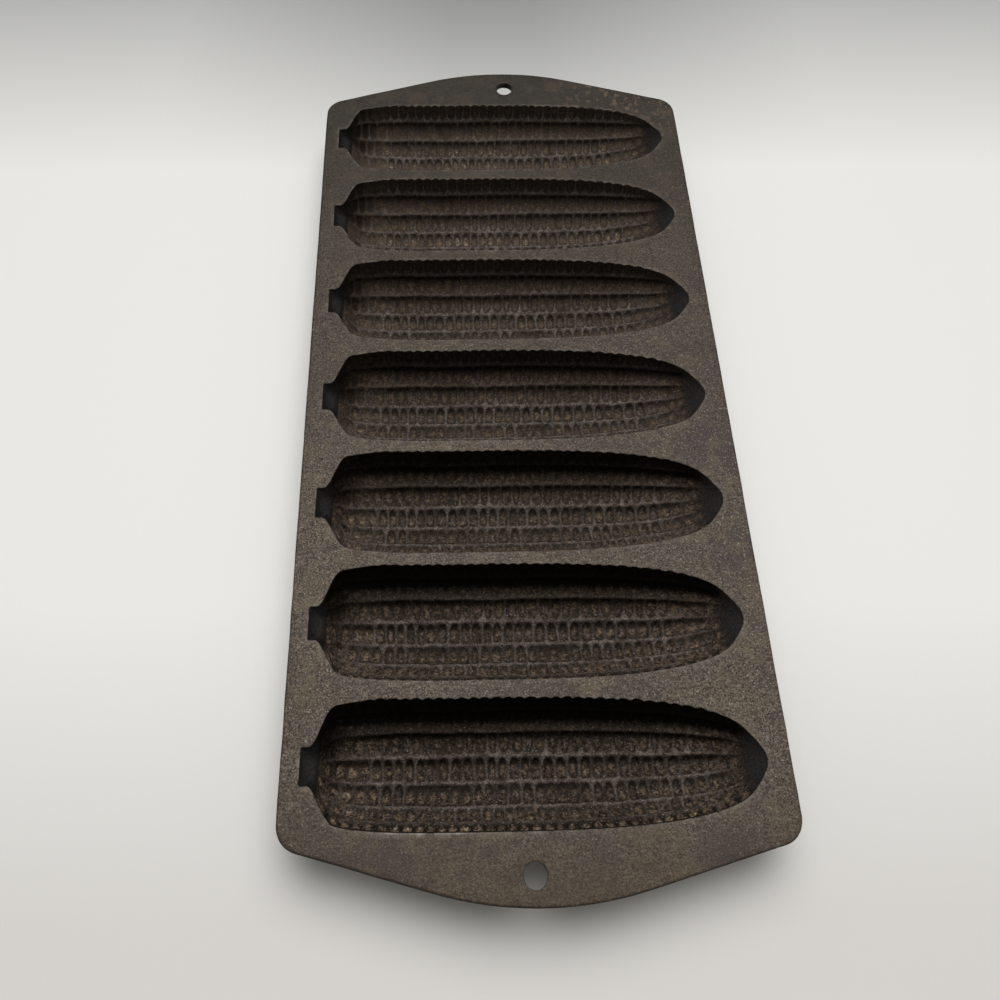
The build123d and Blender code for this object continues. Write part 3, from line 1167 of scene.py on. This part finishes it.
def fill_plan(boundary, openings, spacing):
    """Triangles over a region with openings, and the plan points that were added inside it."""
    loops = [boundary, *openings]
    plan = np.concatenate(loops)
    low, high = boundary.min(axis=0), boundary.max(axis=0)
    grid_x = np.arange(low[0] + spacing / 2, high[0], spacing)
    grid_y = np.arange(low[1] + spacing / 2, high[1], spacing)
    grid = np.array([(a, b) for a in grid_x for b in grid_y])
    rng = np.random.default_rng(grid_seed)
    grid += rng.uniform(-0.25, 0.25, grid.shape) * spacing
    grid = grid[inside_region(grid, loops)]
    gaps = []
    for part in np.array_split(grid, max(1, len(grid) // 200)):
        away = part[:, None] - plan[None, :]
        gaps.append(np.min(np.hypot(away[..., 0], away[..., 1]), axis=1))
    grid = grid[np.concatenate(gaps) > 0.35 * spacing]
    everything = np.concatenate([plan, grid])
    edges = []
    start = 0
    for loop in loops:
        count = len(loop)
        edges += [(start + k, start + (k + 1) % count) for k in range(count)]
        start += count
    result = delaunay_2d_cdt([Vector(p) for p in everything], edges, [], 0, 1e-6, True)
    _, _, triangles, original = result[:4]
    triangles = np.array([ids[0] for ids in original])[np.array(triangles)]
    middles = everything[triangles].mean(axis=1)
    return grid, triangles[inside_region(middles, loops)]


def seam_line(start, end):
    """Points of a seam across the deck between its two ends, bowed a little off the moulds."""
    share = np.linspace(0, 1, seam_points + 1)[1:-1]
    points = start + (end - start) * share[:, None]
    points[:, 1] += seam_bow * np.sign(start[1]) * 4 * share * (1 - share)
    return points


def make_plate(name, chains, openings, spacing):
    """A plate between chains of edge rings and straight seams, with openings of (loop, height)."""
    casting = Casting(name)
    chain_ids = []
    for chain in chains:
        # The edge's rings get painted shade, darker down towards the side face.
        ids = [
            casting.add(ring, soot=edge_painted_shade[min(level, edge_turns - 1)])
            for level, ring in enumerate(chain)
        ]
        chain_ids.append(ids)
        for upper, lower in zip(ids, ids[1:]):
            casting.add_faces(zip(upper[:-1], upper[1:], lower[1:], lower[:-1]))
    count = len(chains)
    seam_ids = []
    for k in range(count):
        after = (k + 1) % count
        top = casting.add(seam_line(chains[k][0][-1], chains[after][0][0]))
        bottom = casting.add(seam_line(chains[k][-1][-1], chains[after][-1][0]))
        seam_ids.append((top, bottom))
        column = [ids[-1] for ids in chain_ids[k]]
        other = [ids[0] for ids in chain_ids[after]]
        casting.add_faces([(*column[::-1], *top, *other, *bottom[::-1])])
    hole_ids = []
    for level, height in ((0, deck_top), (-1, deck_bottom)):
        boundary = []
        for chain, seam in zip(chain_ids, seam_ids):
            boundary += [chain[level], seam[level]]
        boundary = np.concatenate(boundary)
        plan = np.concatenate(casting.blocks)[boundary][:, :2]
        loops = [rings[level][0] for rings in openings]
        hole_ids.append([casting.add(at_height(loop, height)) for loop in loops])
        grid, triangles = fill_plan(plan, loops, spacing)
        grid_ids = casting.add(at_height(grid, height))
        lookup = np.concatenate([boundary, *hole_ids[-1], grid_ids]).astype(int)
        casting.add_faces(lookup[triangles])
    for rings, top, bottom in zip(openings, *hole_ids):
        previous = top
        for loop, height in rings[1:-1]:
            current = casting.add(at_height(loop, height), wear=0.4)
            casting.join(previous, current)
            previous = current
        casting.join(previous, bottom)
    casting.finish()


def make_deck():
    rear, front = edge_rings(1), edge_rings(-1)
    count = len(half_outline)
    starts, ends = slice(0, seam_index + 1), slice(count - 1 - seam_index, count - 1)
    right = [np.concatenate([f[ends], r[starts]]) for r, f in zip(rear, front)]
    left = [np.concatenate([r[ends], f[starts]]) for r, f in zip(rear, front)]
    collars = [collar_loop(place) for place in np.add(mould_places, mould_shifts)]
    openings = [[(collar, deck_top), (collar, deck_bottom)] for collar in collars]
    make_plate("deck_plate", [right, left], openings, deck_spacing)


def oval(centre, grown):
    turns = np.linspace(0, 2 * math.pi, hole_points, endpoint=False)
    waver = 1 + hole_waver * np.sin(3 * turns + 0.7)
    return np.column_stack([
        centre[0] + (hole_half_width * waver + grown) * np.cos(turns),
        centre[1] + (hole_half_length * waver + grown) * np.sin(turns),
    ])


def make_tab(name, side, centre):
    count = len(half_outline)
    chain = [ring[seam_index:count - seam_index] for ring in edge_rings(side)]
    upper, lower = [], []
    for turn in (0, 30, 60, 90):
        phi = math.radians(turn)
        loop = oval(centre, hole_edge * (1 - math.sin(phi)))
        drop = hole_edge * (1 - math.cos(phi))
        upper.append((loop, deck_top - drop))
        lower.append((loop, deck_bottom + drop))
    make_plate(name, [chain], [upper + lower[::-1]], tab_spacing)


for number, (name, place) in enumerate(zip(mould_names, mould_places)):
    make_mould(name, place, number)
make_deck()
make_tab("hanging_tab_rear", 1, holes["rear_hanging_hole"])
make_tab("hanging_tab_front", -1, holes["front_hanging_hole"])


# Stage
def make_floor():
    """A pale floor with painted shade: darker far off, darker still right behind the pan, and a little
    darker in front of it.
    """
    n = Nodes("floor_with_painted_shade")
    parts = n.add("SeparateXYZ", Vector=n.add("TexCoord").outputs["Object"])
    x, y = parts.outputs["X"], parts.outputs["Y"]
    # Painted shade: far off, right behind the pan, and in front of it.
    far = n.span(y, 0.13, 0.25)
    paint = n.mix(far, "floor", "painted far floor shade")
    behind = n.times(n.span(n.maths("ABSOLUTE", x), 0.15, 0.02), far, 0.8)
    paint = n.mix(behind, paint, "painted shade behind the pan")
    paint = n.mix(n.span(y, -0.07, -0.165), paint, "painted front floor shade")
    material = n.output(n.add("BsdfPrincipled", Base_Color=paint, Roughness=0.6))
    mesh = bpy.data.meshes.new("floor")
    corners = [(-1, -1, 0), (1, -1, 0), (1, 1, 0), (-1, 1, 0)]
    mesh.from_pydata([3 * Vector(corner) for corner in corners], [], [(0, 1, 2, 3)])
    mesh.materials.append(material)
    floor = bpy.data.objects.new("floor", mesh)
    bpy.context.scene.collection.objects.link(floor)


def make_lamp():
    lamp = bpy.data.lights.new("key", "AREA")
    lamp.spread = math.radians(75)
    lamp.shape = "RECTANGLE"
    lamp.size, lamp.size_y = 2.5, 2.1
    lamp.energy = 14.8
    holder = bpy.data.objects.new("key", lamp)
    place = Vector((0.10, 0.74, 2.1))
    holder.location = place
    direction = Vector((0, -0.16, 0.0)) - place
    holder.rotation_euler = direction.to_track_quat("-Z", "Y").to_euler()
    bpy.context.scene.collection.objects.link(holder)


def make_world():
    world = bpy.data.worlds.new("studio")
    world.use_nodes = True
    background = world.node_tree.nodes["Background"]
    background.inputs["Color"].default_value = colour("daylight")
    background.inputs["Strength"].default_value = 0.285
    bpy.context.scene.world = world


def make_camera():
    """The photograph's camera, found from the pan's straight sides and even moulds."""
    data = bpy.data.cameras.new("camera")
    data.sensor_width = 36.0
    data.lens = 32.47
    data.shift_x = 0.04
    data.clip_start = 0.01
    place = (-0.02445, -0.17739, 0.26153 + deck_top * MM)
    right = Vector((0.99982801, -0.01730496, 0.00666926))
    down = Vector((-0.01230163, -0.88794793, -0.45977945))
    forward = Vector((0.01387842, 0.45961833, -0.8880081))
    turn = Matrix((right, -down, -forward)).transposed()
    camera = bpy.data.objects.new("camera", data)
    camera.matrix_world = Matrix.Translation(place) @ turn.to_4x4()
    bpy.context.scene.collection.objects.link(camera)
    bpy.context.scene.camera = camera


make_floor()
make_lamp()
make_world()
make_camera()
bpy.context.scene.view_settings.view_transform = "Standard"
